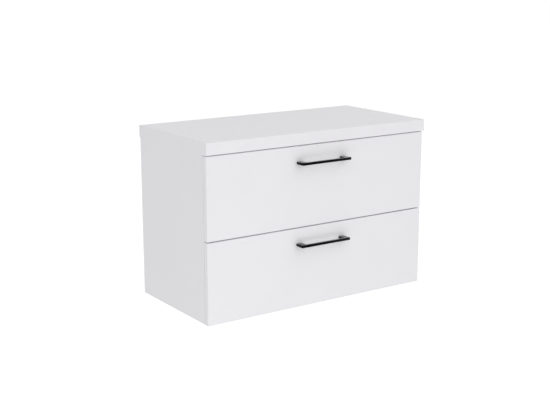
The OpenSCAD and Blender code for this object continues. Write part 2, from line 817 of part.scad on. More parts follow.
// The groove that the bottom sits in, cut from the box boards between two corners
module bottom_groove(level, low, high) {
    z = box_z(level) + groove_up;
    block([low.x, low.y, z], [high.x, high.y, z + groove_h]);
}

// The dowels of a box's two left corners
module box_dowel_bodies(level, gap) {
    for (y = BOX_DOWEL_Y, z = box_dowel_z(level))
        rod_x([-box_inner_x - box_dowel_bite - gap, y, z],
              box_dowel_bite + dowel_in_board + 2 * gap, box_dowel_r + gap);
}

module box_dowels(level) {
    color(beech) both_sides() box_dowel_bodies(level, 0);
}

// The section of a box board, centred on its thickness, with its two top edges rounded
module box_board_section() {
    translate([0, box_h]) mirror([0, 1]) soft_edge_rectangle(box_t, box_h, box_edge_r);
}

// A box board that runs from x0 to x1, with its front face at y0
module box_cross_board(level, x0, x1, y0) {
    translate([x0, y0 + box_t / 2, box_z(level)]) rotate([90, 0, 90]) linear_extrude(x1 - x0)
        box_board_section();
}

module box_side(level) {
    color(box_grey) difference() {
        translate([-box_x + box_t / 2, box_back_y, box_z(level)]) rotate([90, 0, 0])
            linear_extrude(box_back_y - front_back_y) box_board_section();
        bottom_groove(level, [-box_inner_x - groove_deep, front_back_y + groove_deep],
                      [-box_inner_x + over, box_back_y - groove_deep]);
        on_left_panel(level) for (y = RUNNER_HOLE_Y)
            rod_x([runner_d - over, y, 0], box_screw_bite + end_gap + over, screw_r + fit_gap);
        box_dowel_bodies(level, fit_gap);
    }
}

module box_front(level) {
    y1 = front_back_y + box_t;
    color(box_grey) difference() {
        box_cross_board(level, -box_inner_x, box_inner_x, front_back_y);
        bottom_groove(level, [-box_inner_x - over, y1 - groove_deep], [box_inner_x + over, y1 + over]);
        for (s = [-1, 1]) {
            rod_y([s * handle_centres / 2, front_back_y - over, handle_z(level)],
                  box_t + 2 * over, pan_r + over);
            for (z = front_screw_z(level))
                rod_y([s * front_screw_x, front_back_y - over, z], box_t + 2 * over, screw_r + screw_gap);
        }
        both_sides() box_dowel_bodies(level, fit_gap);
    }
}

// A back board from x0 to x1; the upper drawer has one on each side of the trap recess
module box_back(level, x0, x1) {
    y0 = box_back_y - box_t;
    color(box_grey) difference() {
        box_cross_board(level, x0, x1, y0);
        bottom_groove(level, [x0 - over, y0 - over], [x1 + over, y0 + groove_deep]);
        both_sides() box_dowel_bodies(level, fit_gap);
    }
}

module box_bottom(level) {
    x = box_inner_x + groove_deep - fit_gap;
    z0 = box_z(level) + groove_up + fit_gap;
    color(box_grey) difference() {
        block([-x, front_back_y + box_t - groove_deep + fit_gap, z0],
              [x, box_back_y - box_t + groove_deep - fit_gap, z0 + box_bottom_t]);
        if (level == UPPER) translate([0, 0, z0 - over]) linear_extrude(box_bottom_t + 2 * over)
            trap_outline(trap_wall / 2, over);
    }
}

// The recess seen from above, grown by a margin and run past the back of the box
module trap_outline(grow, past) {
    translate([0, box_back_y - trap_d - grow])
        soft_edge_rectangle(trap_w + 2 * grow, trap_d + grow + past, trap_corner_r + grow);
}

// Sweeps a section round the recess's three sides; its x is the distance out from the recess
module round_trap() {
    corner_x = trap_w / 2 - trap_corner_r;
    straight_l = trap_d - trap_corner_r;
    both_sides() {
        translate([-trap_w / 2, box_back_y, 0]) rotate([90, 0, 0]) linear_extrude(straight_l)
            mirror([1, 0]) children();
        translate([-corner_x, box_back_y - straight_l, 0]) rotate(180) rotate_extrude(angle = 90)
            translate([trap_corner_r, 0]) children();
    }
    translate([-corner_x, box_back_y - trap_d, 0]) rotate([90, 0, 90]) linear_extrude(2 * corner_x)
        mirror([1, 0]) children();
}

// The surround's wall, with its top edge rounded and a groove for the edge of the box bottom
module trap_section() {
    difference() {
        translate([trap_wall / 2, box_h]) mirror([0, 1]) soft_edge_rectangle(trap_wall, box_h, box_edge_r);
        translate([trap_wall / 2 - fit_gap, groove_up]) square([trap_wall, groove_h]);
    }
}

// One moulding that lines the recess
module trap_surround() {
    color(moulded_white) translate([0, 0, box_z(UPPER)]) round_trap() trap_section();
}

// ---------- every node ----------

worktop();
side_panel();  // left_side_panel
on_right() side_panel();  // right_side_panel
bottom_panel();
top_rail(front_edge_y, FRONT_RAIL_CAM, FRONT_RAIL_DOWEL, WORKTOP_SCREW_Y[0]);  // front_top_rail
top_rail(rail_back_y - rail_w, REAR_RAIL_CAM, REAR_RAIL_DOWEL, WORKTOP_SCREW_Y[1]);  // rear_top_rail
hanging_rail();
lower_back_rail();
cam_locks();
cam_bolts();
wooden_dowels();
worktop_screws();
front_buffers();
hanger_housing();  // left_hanger_housing
on_right() hanger_housing();  // right_hanger_housing
hanger_hook();  // left_hanger_hook
on_right() hanger_hook();  // right_hanger_hook
hanger_adjusting_screws();
hanger_cover_caps();
wall_plates();
runner_channel(UPPER);  // upper_left_runner_channel
on_right() runner_channel(UPPER);  // upper_right_runner_channel
runner_channel(LOWER);  // lower_left_runner_channel
on_right() runner_channel(LOWER);  // lower_right_runner_channel
runner_channel_screws();
drawer_front(UPPER);  // upper_drawer_front
handle(UPPER);  // upper_handle
handle_screws(UPPER);  // upper_handle_screws
box_side(UPPER);  // upper_box_left_side
on_right() box_side(UPPER);  // upper_box_right_side
box_front(UPPER);  // upper_box_front
both_sides() box_back(UPPER, trap_outer_x, box_inner_x);  // upper_box_backs
box_bottom(UPPER);  // upper_box_bottom
trap_surround();  // upper_trap_surround
front_screws(UPPER);  // upper_front_screws
box_dowels(UPPER);  // upper_box_dowels
runner_slide(UPPER);  // upper_left_runner_slide
on_right() runner_slide(UPPER);  // upper_right_runner_slide
runner_slide_screws(UPPER);  // upper_runner_slide_screws
drawer_front(LOWER);  // lower_drawer_front
handle(LOWER);  // lower_handle
handle_screws(LOWER);  // lower_handle_screws
box_side(LOWER);  // lower_box_left_side
on_right() box_side(LOWER);  // lower_box_right_side
box_front(LOWER);  // lower_box_front
box_back(LOWER, -box_inner_x, box_inner_x);  // lower_box_back
box_bottom(LOWER);  // lower_box_bottom
front_screws(LOWER);  // lower_front_screws
box_dowels(LOWER);  // lower_box_dowels
runner_slide(LOWER);  // lower_left_runner_slide
on_right() runner_slide(LOWER);  // lower_right_runner_slide
runner_slide_screws(LOWER);  // lower_runner_slide_screws
runner_middle(UPPER);  // upper_left_runner_middle
on_right() runner_middle(UPPER);  // upper_right_runner_middle
runner_middle(LOWER);  // lower_left_runner_middle
on_right() runner_middle(LOWER);  // lower_right_runner_middle
ball_retainer(UPPER, outer_retainer_x, outer_ball);  // upper_outer_ball_retainers
ball_retainer(UPPER, inner_retainer_x, inner_ball);  // upper_inner_ball_retainers
ball_retainer(LOWER, outer_retainer_x, outer_ball);  // lower_outer_ball_retainers
ball_retainer(LOWER, inner_retainer_x, inner_ball);  // lower_inner_ball_retainers
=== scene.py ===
import json
import math

import bmesh
import bpy
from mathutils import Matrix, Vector

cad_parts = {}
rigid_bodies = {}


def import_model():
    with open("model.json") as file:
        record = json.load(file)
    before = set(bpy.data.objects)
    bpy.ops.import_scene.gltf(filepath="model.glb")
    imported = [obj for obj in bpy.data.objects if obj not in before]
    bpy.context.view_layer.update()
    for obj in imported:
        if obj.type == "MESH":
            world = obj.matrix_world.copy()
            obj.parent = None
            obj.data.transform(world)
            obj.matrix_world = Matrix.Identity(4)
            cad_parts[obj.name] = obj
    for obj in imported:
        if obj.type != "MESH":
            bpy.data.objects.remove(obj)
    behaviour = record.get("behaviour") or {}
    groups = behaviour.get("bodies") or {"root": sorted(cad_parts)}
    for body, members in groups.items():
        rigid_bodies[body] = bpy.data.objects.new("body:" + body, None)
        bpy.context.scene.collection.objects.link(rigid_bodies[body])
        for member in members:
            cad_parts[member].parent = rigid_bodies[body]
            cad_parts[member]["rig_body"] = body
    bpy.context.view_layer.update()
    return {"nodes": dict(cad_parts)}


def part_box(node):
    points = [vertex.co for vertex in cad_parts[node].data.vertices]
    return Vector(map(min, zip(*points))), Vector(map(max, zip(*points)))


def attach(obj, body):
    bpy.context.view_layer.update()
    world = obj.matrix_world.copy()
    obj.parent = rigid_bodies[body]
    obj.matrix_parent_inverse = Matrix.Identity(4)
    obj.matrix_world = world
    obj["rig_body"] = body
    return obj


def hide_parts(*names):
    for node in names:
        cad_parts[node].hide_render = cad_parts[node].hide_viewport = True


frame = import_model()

mm = 0.001

# ---------- the studio ----------
# The cabinet hangs clear of a plain pale floor, in a white surround whose light comes evenly from all
# round. Four wide soft lamps add the rest, and most of that falls on its front.


def linear(code):
    """The linear colour of an sRGB hex code."""
    shares = [int(code[i:i + 2], 16) / 255 for i in (1, 3, 5)]
    return [s / 12.92 if s <= 0.04045 else ((s + 0.055) / 1.055) ** 2.4 for s in shares] + [1]


def add_node(tree, kind, inputs=None, **settings):
    """Adds a node to a tree. Each input is a value, or the socket of another node that feeds it."""
    node = tree.nodes.new(kind)
    for name, value in settings.items():
        setattr(node, name, value)
    for name, value in (inputs or {}).items():
        if isinstance(value, bpy.types.NodeSocket):
            tree.links.new(value, node.inputs[name])
        else:
            node.inputs[name].default_value = value
    return node


def add_object(name, data):
    thing = bpy.data.objects.new(name, data)
    bpy.context.scene.collection.objects.link(thing)
    return thing


def seen_directly(tree):
    """1 for what the camera sees, also mirrored or through glass, and 0 for the light on things."""
    path = add_node(tree, "ShaderNodeLightPath")
    either = add_node(tree, "ShaderNodeMath", {
        0: path.outputs["Is Camera Ray"], 1: path.outputs["Is Glossy Ray"]}, operation="MAXIMUM")
    return add_node(tree, "ShaderNodeMath", {
        0: either.outputs[0], 1: path.outputs["Is Transmission Ray"]}, operation="MAXIMUM").outputs[0]


white = (1, 1, 1, 1)
surround_light = 0.645  # of the seen white, the share that lights the cabinet

world = bpy.data.worlds.new("white_surround")
bpy.context.scene.world = world
world.use_nodes = True
world.node_tree.nodes.clear()
surround_level = add_node(world.node_tree, "ShaderNodeMapRange", {
    "Value": seen_directly(world.node_tree), "To Min": surround_light, "To Max": 1})
surround = add_node(world.node_tree, "ShaderNodeBackground", {
    "Color": white, "Strength": surround_level.outputs["Result"]})
add_node(world.node_tree, "ShaderNodeOutputWorld", {"Surface": surround.outputs[0]})

floor_z = -1.0  # about 0.6 m below the cabinet
floor_reach = 20  # metres to each side, past what any view shows
floor_paint = linear("#f4f4f4")
floor_glow = 0.47  # brings the lit floor to white for the camera, and leaves its shadows

floor_mesh = bpy.data.meshes.new("floor")
floor_corners = [
    (x * floor_reach, y * floor_reach, floor_z) for x, y in ((-1, -1), (1, -1), (1, 1), (-1, 1))]
floor_mesh.from_pydata(floor_corners, [], [range(len(floor_corners))])
floor = add_object("floor", floor_mesh)
floor_material = bpy.data.materials.new("pale_painted_floor")
floor_material.use_nodes = True
floor_tree = floor_material.node_tree
floor_tree.nodes.clear()
floor_matt = add_node(floor_tree, "ShaderNodeBsdfDiffuse", {"Color": floor_paint})
floor_level = add_node(floor_tree, "ShaderNodeMath", {
    0: seen_directly(floor_tree), 1: floor_glow}, operation="MULTIPLY")
floor_light = add_node(floor_tree, "ShaderNodeEmission", {
    "Color": white, "Strength": floor_level.outputs[0]})
floor_both = add_node(floor_tree, "ShaderNodeAddShader", {
    0: floor_matt.outputs[0], 1: floor_light.outputs[0]})
add_node(floor_tree, "ShaderNodeOutputMaterial", {"Surface": floor_both.outputs[0]})
floor_mesh.materials.append(floor_material)

watts_for_white = 4  # a lamp's watts for each square metre at the background's own brightness


def soft_lamp(name, at, width, height, level):
    """A wide lamp that faces the cabinet."""
    light = bpy.data.lights.new(name, "AREA")
    light.shape = "RECTANGLE"
    light.size = width
    light.size_y = height
    light.energy = watts_for_white * width * height * level
    lamp = add_object(name, light)
    lamp.location = at
    lamp.rotation_euler = (-Vector(at)).to_track_quat("-Z", "Y").to_euler()
    lamp.visible_camera = False


soft_lamp("front_tall_lamp", at=(-0.3, -3.0, 1.3), width=5.0, height=4.0, level=0.4)
soft_lamp("front_low_lamp", at=(-0.6, -1.6, -0.95), width=3.0, height=0.5, level=0.82)
soft_lamp("left_low_lamp", at=(-3.4, 0.3, -0.7), width=2.5, height=0.9, level=0.65)
soft_lamp("left_high_lamp", at=(-1.9, 0.2, 2.2), width=1.6, height=1.6, level=0.11)

# The photograph's own viewpoint, found from the corners of the worktop and the carcass in it
camera_at = (-1.8919, -2.9240, 0.6202)
camera_heading = math.radians(34.277)
camera_down = math.radians(13.043)
camera_lens = 70.13

camera = add_object("camera", bpy.data.cameras.new("camera"))
camera.location = camera_at
camera.rotation_euler = (math.pi / 2 - camera_down, 0, -camera_heading)
camera.data.lens = camera_lens
bpy.context.scene.camera = camera
bpy.context.scene.view_settings.view_transform = "Standard"

# ---------- worktop, side panels and drawer fronts ----------
# MDF boards sprayed all round with a white satin lacquer. The spray leaves a fine orange peel that
# softens reflections, and the build of the lacquer varies a little from place to place.


def new_material(name, **shader_inputs):
    """A material with one Principled shader, and the place on the piece, in metres, for its patterns.
    A shader input's name is written with _ for each space."""
    material = bpy.data.materials.new(name)
    material.use_nodes = True
    tree = material.node_tree
    shader = tree.nodes["Principled BSDF"]
    for key, value in shader_inputs.items():
        shader.inputs[key.replace("_", " ")].default_value = value
    place = add_node(tree, "ShaderNodeTexCoord").outputs["Object"]
    return material, tree, shader, place


def feed(shader, **sockets):
    """Links nodes' outputs into a shader's inputs; an input's name is written with _ for each space."""
    for key, socket in sockets.items():
        shader.id_data.links.new(socket, shader.inputs[key.replace("_", " ")])


def coat(material, *nodes):
    """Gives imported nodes, which show their own solids, a material."""
    for node in nodes:
        for material_slot in frame["nodes"][node].material_slots:
            material_slot.material = material


mix_from, mix_to, mixed = 6, 7, 2  # a Mix node's colour sockets, which share their names with others

# Sprayed polyurethane lacquer: an even, slightly cool white with a soft sheen, greyer where it is thin
lacquer_white = linear("#f0eff2")
lacquer_thin = linear("#edecef")
lacquer_cloud = 90 * mm
orange_peel = 5 * mm  # really about 2 mm, drawn coarser so that it shows
orange_peel_deep = 0.012 * mm
lacquer_roughness = (0.34, 0.42)

lacquer, tree, shader, place = new_material("satin_lacquer_on_mdf", IOR=1.5)
cloud = add_node(tree, "ShaderNodeTexNoise", {"Vector": place, "Scale": 1 / lacquer_cloud, "Detail": 2})
tone = add_node(tree, "ShaderNodeMix", {
    "Factor": cloud.outputs[0], mix_from: lacquer_thin, mix_to: lacquer_white}, data_type="RGBA")
sheen = add_node(tree, "ShaderNodeMapRange", {
    "Value": cloud.outputs[0], "To Min": lacquer_roughness[0], "To Max": lacquer_roughness[1]})
peel = add_node(tree, "ShaderNodeTexNoise", {"Vector": place, "Scale": 1 / orange_peel, "Detail": 1})
relief = add_node(tree, "ShaderNodeBump", {"Height": peel.outputs[0], "Distance": orange_peel_deep})
feed(shader, Base_Color=tone.outputs[mixed], Roughness=sheen.outputs[0], Normal=relief.outputs[0])

coat(lacquer, "worktop", "left_side_panel", "right_side_panel",
     "upper_drawer_front", "lower_drawer_front")

# ---------- handles ----------
# A flat zinc bar cast with two wide legs, a shallow U seen from above. It is painted satin black over a
# fine powdery ground, and its edges are broken all round.

handle_leg_w = 20 * mm
handle_bar_d = 8 * mm
handle_corner_r = 1.2 * mm
handle_corner_steps = 4
handle_edge_r = 0.6 * mm
handle_edge_steps = 3
round_profile = 0.5  # bevels an edge to a part of a circle
sharp_turn = math.radians(35)  # faces that turn by less than this are shaded as one round

# Stoved satin paint: deep black from in front, and a pale bloom where the eye grazes a face
handle_black = linear("#040405")
handle_gloss = linear("#101010")
handle_bloom = 0.7  # the weight of the paint's sheen
handle_bloom_roughness = 0.2
handle_roughness = (0.06, 0.14)
paint_grain = 0.8 * mm
paint_grain_deep = 0.006 * mm

black_paint, tree, shader, place = new_material(
    "satin_black_paint_on_zinc", Base_Color=handle_black, Specular_Tint=handle_gloss,
    Sheen_Weight=handle_bloom, Sheen_Roughness=handle_bloom_roughness)
grain = add_node(tree, "ShaderNodeTexNoise", {"Vector": place, "Scale": 1 / paint_grain, "Detail": 2})
sheen = add_node(tree, "ShaderNodeMapRange", {
    "Value": grain.outputs[0], "To Min": handle_roughness[0], "To Max": handle_roughness[1]})
relief = add_node(tree, "ShaderNodeBump", {"Height": grain.outputs[0], "Distance": paint_grain_deep})
feed(shader, Roughness=sheen.outputs[0], Normal=relief.outputs[0])


def in_fixed_order(shape):
    """The same shape with its faces in one order. A bevel's own order changes from run to run, and some
    of its four-cornered faces start at either end of the same diagonal."""
    bmesh.ops.recalc_face_normals(shape, faces=shape.faces)
    shape.verts.index_update()
    rings = []
    for face in shape.faces:
        ring = [vert.index for vert in face.verts]
        rings.append(min(ring, ring[2:] + ring[:2]) if len(ring) == 4 else ring)
    ordered = bmesh.new()
    verts = [ordered.verts.new(vert.co) for vert in shape.verts]
    for ring in sorted(rings):
        ordered.faces.new([verts[i] for i in ring])
    shape.free()
    return ordered


def mesh_from(shape, name):
    """Turns a bmesh into a mesh with its faces outwards, round where they turn gently."""
    bmesh.ops.recalc_face_normals(shape, faces=shape.faces)
    mesh = bpy.data.meshes.new(name)
    shape.to_mesh(mesh)
    shape.free()
    mesh.shade_smooth()
    mesh.set_sharp_from_angle(angle=sharp_turn)
    return mesh


def stand_for(piece, node):
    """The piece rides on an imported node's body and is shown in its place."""
    packed = frame["nodes"][node]
    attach(piece, packed["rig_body"])
    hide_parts(node)


drawers = ("upper", "lower")
for drawer in drawers:
    low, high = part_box(f"{drawer}_handle")
    inner_x = high.x - handle_leg_w
    inner_y = low.y + handle_bar_d
    outline = [
        (low.x, low.y), (high.x, low.y), (high.x, high.y), (inner_x, high.y),
        (inner_x, inner_y), (-inner_x, inner_y), (-inner_x, high.y), (low.x, high.y)]
    shape = bmesh.new()
    under = shape.faces.new([shape.verts.new((x, y, low.z)) for x, y in outline])
    raised = bmesh.ops.extrude_face_region(shape, geom=[under])["geom"]
    upper_verts = [g for g in raised if isinstance(g, bmesh.types.BMVert)]
    bmesh.ops.translate(shape, verts=upper_verts, vec=(0, 0, high.z - low.z))
    # The corners that run up the bar are rounded, but not where its legs stand on the drawer's front
    upright = [e for e in shape.edges if abs(e.verts[0].co.z - e.verts[1].co.z) > handle_edge_r
               and max(v.co.y for v in e.verts) < high.y - handle_edge_r]
    bmesh.ops.bevel(shape, geom=upright, offset=handle_corner_r, segments=handle_corner_steps,
                    profile=round_profile, affect="EDGES")
    rims = [e for e in shape.edges if abs(e.verts[0].co.z - e.verts[1].co.z) < handle_edge_r
            and e.calc_face_angle() > sharp_turn]
    bmesh.ops.bevel(shape, geom=rims, offset=handle_edge_r, segments=handle_edge_steps,
                    profile=round_profile, affect="EDGES")
    handle_mesh = mesh_from(in_fixed_order(shape), f"{drawer}_bar_handle")
    handle_mesh.materials.append(black_paint)
    handle = add_object(f"{drawer}_bar_handle", handle_mesh)
    stand_for(handle, f"{drawer}_handle")

# ---------- bottom panel and rails ----------
# Chipboard with white melamine paper on both faces, whose press plate leaves a fine pearl relief. The
# front edges are banded, and the back edges are left raw, so that the chips show.

# Pressed melamine paper: a matt, neutral white with a fine pearl. The bare edge is a tight mix of pale
# and dark chips that lie along the board.
paper_tones = (linear("#e7e7e7"), linear("#eeeeee"))
paper_roughness = 0.5
pearl_grain = 1.6 * mm
pearl_deep = 0.01 * mm
chip_tones = (linear("#86663f"), linear("#d8bf98"))
chip_roughness = 0.9
chip_w = 1.1 * mm
chip_lie = 0.35  # a chip's width for its length
chip_deep = 0.3 * mm
dust_w = 0.55 * mm
dust_share = 0.45  # of the wood's tone, that comes from the dust between the chips
same_way = 0.9  # the least cosine between a face and the way that the bare edge faces


def chips_and_paper(name, raw_way):
    """Melamine board whose edge that faces raw_way is bare chipboard."""
    board, tree, shader, place = new_material(name, IOR=1.5)
    along = add_node(tree, "ShaderNodeMapping", {
        "Vector": place, "Scale": (chip_lie, 1, 1)}).outputs[0]
    pearl = add_node(tree, "ShaderNodeTexNoise", {
        "Vector": place, "Scale": 1 / pearl_grain, "Detail": 2})
    paper = add_node(tree, "ShaderNodeMix", {
        "Factor": pearl.outputs[0], mix_from: paper_tones[0], mix_to: paper_tones[1]}, data_type="RGBA")
    chips = add_node(tree, "ShaderNodeTexVoronoi", {"Vector": along, "Scale": 1 / chip_w})
    chip_tone = add_node(tree, "ShaderNodeSeparateColor", {0: chips.outputs["Color"]})
    dust = add_node(tree, "ShaderNodeTexNoise", {"Vector": along, "Scale": 1 / dust_w, "Detail": 3})
    chip_and_dust = add_node(tree, "ShaderNodeMix", {
        "Factor": dust_share, "A": chip_tone.outputs[0], "B": dust.outputs[0]}, data_type="FLOAT")
    wood = add_node(tree, "ShaderNodeMix", {
        "Factor": chip_and_dust.outputs[0], mix_from: chip_tones[0], mix_to: chip_tones[1]},
        data_type="RGBA")
    facing = add_node(tree, "ShaderNodeVectorMath", {
        0: place.node.outputs["Normal"], 1: raw_way}, operation="DOT_PRODUCT")
    raw = add_node(tree, "ShaderNodeMath", {
        0: facing.outputs["Value"], 1: same_way}, operation="GREATER_THAN")
    surface = add_node(tree, "ShaderNodeMix", {
        "Factor": raw.outputs[0], mix_from: paper.outputs[mixed], mix_to: wood.outputs[mixed]},
        data_type="RGBA")
    sheen = add_node(tree, "ShaderNodeMapRange", {
        "Value": raw.outputs[0], "To Min": paper_roughness, "To Max": chip_roughness})
    height = add_node(tree, "ShaderNodeMix", {
        "Factor": raw.outputs[0], "A": pearl.outputs[0], "B": chips.outputs["Distance"]},
        data_type="FLOAT")
    depth = add_node(tree, "ShaderNodeMapRange", {
        "Value": raw.outputs[0], "To Min": pearl_deep, "To Max": chip_deep})
    relief = add_node(tree, "ShaderNodeBump", {
        "Height": height.outputs[0], "Distance": depth.outputs[0]})
    feed(shader, Base_Color=surface.outputs[mixed], Roughness=sheen.outputs[0], Normal=relief.outputs[0])
    return board


coat(chips_and_paper("melamine_on_chipboard_flat", (0, 1, 0)),
     "bottom_panel", "front_top_rail", "rear_top_rail")
coat(chips_and_paper("melamine_on_chipboard_upright", (0, 0, -1)), "hanging_rail", "lower_back_rail")

# ---------- fittings that are pressed or screwed into the boards ----------
# Steel screws with cut threads, zinc plated and passivated to a cool bright grey, steel cam bolts, and
# fluted beech dowels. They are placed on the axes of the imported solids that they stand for.


def lathe(profile, steps):
    """A solid of revolution through (radius, depth) points, with depth from the head into the hole."""
    shape = bmesh.new()
    turns = [2 * math.pi * i / steps for i in range(steps)]
    hoops = [[shape.verts.new((r * math.cos(a), r * math.sin(a), z)) for a in turns] if r else
             [shape.verts.new((0, 0, z))] for r, z in profile]
    for upper, lower in zip(hoops, hoops[1:]):
        for i in range(steps):
            j = (i + 1) % steps
            corners = [upper[i % len(upper)], upper[j % len(upper)],
                       lower[j % len(lower)], lower[i % len(lower)]]
            shape.faces.new(dict.fromkeys(corners))
    return shape


merge_within = 0.001 * mm


def solids(node):
    """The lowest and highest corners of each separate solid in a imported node."""
    shape = bmesh.new()
    shape.from_mesh(frame["nodes"][node].data)
    bmesh.ops.remove_doubles(shape, verts=shape.verts, dist=merge_within)
    boxes = []
    for start in shape.verts:
        if start.tag:
            continue
        start.tag = True
        batch, part = [start], []
        while batch:
            vert = batch.pop()
            part.append(vert.co)
            for other in (edge.other_vert(vert) for edge in vert.link_edges):
                if not other.tag:
                    other.tag = True
                    batch.append(other)
        boxes.append([Vector(pick(co[k] for co in part) for k in range(3)) for pick in (min, max)])
    shape.free()
    return boxes


# One tree cuts a thread or flutes into a turned blank, sinks the driver's recess, and sets a copy at
# each place.
fitting_tree = bpy.data.node_groups.new("repeat_fitting", "GeometryNodeTree")
fitting_tree.is_modifier = True
sockets = {}
for name, kind in (
        ("Places", "Geometry"), ("Blank", "Object"), ("Recess", "Object"), ("Recessed", "Bool"),
        ("Groove share", "Float"), ("Turns per metre", "Float"), ("Starts", "Float"),
        ("Groove from", "Float"), ("Groove to", "Float"), ("Run-out", "Float"), ("Finish", "Material")):
    sockets[name] = fitting_tree.interface.new_socket(
        name, in_out="INPUT", socket_type=f"NodeSocket{kind}")
fitting_tree.interface.new_socket("Fittings", in_out="OUTPUT", socket_type="NodeSocketGeometry")

given = add_node(fitting_tree, "NodeGroupInput").outputs
blank = add_node(fitting_tree, "GeometryNodeObjectInfo", {"Object": given["Blank"]}).outputs["Geometry"]
at = add_node(fitting_tree, "ShaderNodeSeparateXYZ", {
    0: add_node(fitting_tree, "GeometryNodeInputPosition").outputs[0]}).outputs

# How far a point of the blank moves in, as a share of its radius. Each row names its result, which the
# rows below it can use, as they can the point's X, Y and Z and the tree's own inputs.
known = dict(at.items()) | dict(given.items())
for result, operation, first, second in (
        ("angle", "ARCTAN2", "Y", "X"),
        ("turn", "DIVIDE", "angle", 2 * math.pi),
        ("starts passed", "MULTIPLY", "turn", "Starts"),
        ("turns along", "MULTIPLY", "Z", "Turns per metre"),
        ("phase", "SUBTRACT", "turns along", "starts passed"),
        ("half valley", "PINGPONG", "phase", 0.5),
        ("valley", "MULTIPLY", "half valley", 2),  # 0 on a crest, 1 in the middle of a groove
        ("past start", "SUBTRACT", "Z", "Groove from"),
        ("begun", "DIVIDE", "past start", "Run-out"),
        ("before end", "SUBTRACT", "Groove to", "Z"),
        ("left", "DIVIDE", "before end", "Run-out"),
        ("nearer end", "MINIMUM", "begun", "left"),
        ("not below 0", "MAXIMUM", "nearer end", 0),
        ("within", "MINIMUM", "not below 0", 1),  # 0 at the groove's ends, 1 a run-out further in
        ("deepest", "MULTIPLY", "within", "Groove share"),
        ("share", "MULTIPLY", "valley", "deepest"),
        ("inward", "MULTIPLY", "share", -1)):
    known[result] = add_node(fitting_tree, "ShaderNodeMath", {
        0: known.get(first, first), 1: known.get(second, second)}, operation=operation).outputs[0]

inward = add_node(fitting_tree, "ShaderNodeVectorMath", {
    0: add_node(fitting_tree, "ShaderNodeCombineXYZ", {"X": at["X"], "Y": at["Y"]}).outputs[0],
    "Scale": known["inward"]}, operation="SCALE").outputs[0]
grooved = add_node(fitting_tree, "GeometryNodeSetPosition", {
    "Geometry": blank, "Offset": inward}).outputs[0]
sunk = add_node(fitting_tree, "GeometryNodeMeshBoolean", {
    "Mesh 1": grooved,
    "Mesh 2": add_node(fitting_tree, "GeometryNodeObjectInfo", {
        "Object": given["Recess"]}).outputs["Geometry"],
    "Self Intersection": True}, operation="DIFFERENCE", solver="EXACT").outputs[0]
one = add_node(fitting_tree, "GeometryNodeSwitch", {
    "Switch": given["Recessed"], "False": grooved, "True": sunk}, input_type="GEOMETRY").outputs[0]
way = add_node(fitting_tree, "GeometryNodeInputNamedAttribute", {
    "Name": "way"}, data_type="FLOAT_VECTOR").outputs[0]
turned = add_node(fitting_tree, "FunctionNodeAlignRotationToVector", {
    "Vector": way}, axis="Z").outputs[0]
copies = add_node(fitting_tree, "GeometryNodeInstanceOnPoints", {
    "Points": given["Places"], "Instance": one, "Rotation": turned}).outputs[0]
joined = add_node(fitting_tree, "GeometryNodeRealizeInstances", {"Geometry": copies}).outputs[0]
finished = add_node(fitting_tree, "GeometryNodeSetMaterial", {
    "Geometry": joined, "Material": given["Finish"]}).outputs[0]
add_node(fitting_tree, "NodeGroupOutput", {"Fittings": finished})

recess_tip = 0.45  # the share of its width that a cross recess keeps at its bottom
recess_over = 0.25  # the share of its depth by which the tip that cuts it stands out of the head


def cross_recess(reach, width, depth):
    """What a cross-head driver's tip takes out: two crossed blades that narrow into the head."""
    shape = bmesh.new()
    over = depth * recess_over
    for half_x, half_y in ((reach, width / 2), (width / 2, reach)):
        block = bmesh.ops.create_cube(shape, size=1)["verts"]
        for vert in block:
            deep = vert.co.z > 0
            narrow = recess_tip if deep else 1
            along = max(half_x, half_y) * narrow
            vert.co = Vector((math.copysign(along if half_x > half_y else half_x, vert.co.x),
                              math.copysign(along if half_y > half_x else half_y, vert.co.y),
                              depth if deep else -over))
    return shape


def repeat_fitting(node, way_of, profile_of, finish, steps=20, recess=None, groove=None):
    """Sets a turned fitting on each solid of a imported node, whose solids are all of one length. way_of
    gives the way into the hole at a place, and profile_of the (radius, depth) points for that length."""
    points = bpy.data.meshes.new(node + "_places")
    heads, ways = [], []
    for low, high in solids(node):
        middle = (low + high) / 2
        into = Vector(way_of(middle))
        length = abs(into.dot(high - low))
        heads.append(middle - into * length / 2)
        ways.append(into)
    points.from_pydata(heads, [], [])
    way_data = points.attributes.new("way", "FLOAT_VECTOR", "POINT").data
    way_data.foreach_set("vector", [c for w in ways for c in w])
    maker = add_object(node + "_fitted", points)
    blank_mesh = mesh_from(lathe(profile_of(length), steps), node + "_blank")
    blank_object = add_object(node + "_blank", blank_mesh)
    extras = [blank_object]
    values = {"Blank": blank_object, "Recessed": bool(recess), "Finish": finish}
    if recess:
        tip = add_object(node + "_tip", mesh_from(cross_recess(*recess), node + "_tip"))
        extras.append(tip)
        values["Recess"] = tip
    values.update(groove(length) if groove else {"Run-out": mm})  # the tree divides by it
    modifier = maker.modifiers.new("repeat", "NODES")
    modifier.node_group = fitting_tree
    for name, value in values.items():
        modifier[sockets[name].identifier] = value
    shown = maker.evaluated_get(bpy.context.evaluated_depsgraph_get())
    mesh = bpy.data.meshes.new_from_object(shown)
    maker.modifiers.clear()
    maker.data = mesh
    mesh.shade_smooth()
    mesh.set_sharp_from_angle(angle=sharp_turn)
    for extra in extras:
        bpy.data.objects.remove(extra)
    stand_for(maker, node)


# Bright zinc, blue passivated: a cool grey metal, with faint warm and cool patches in its film
zinc_tones = (linear("#9da6b0"), linear("#bdbcb6"))
zinc_roughness = (0.24, 0.4)
zinc_patch = 2 * mm

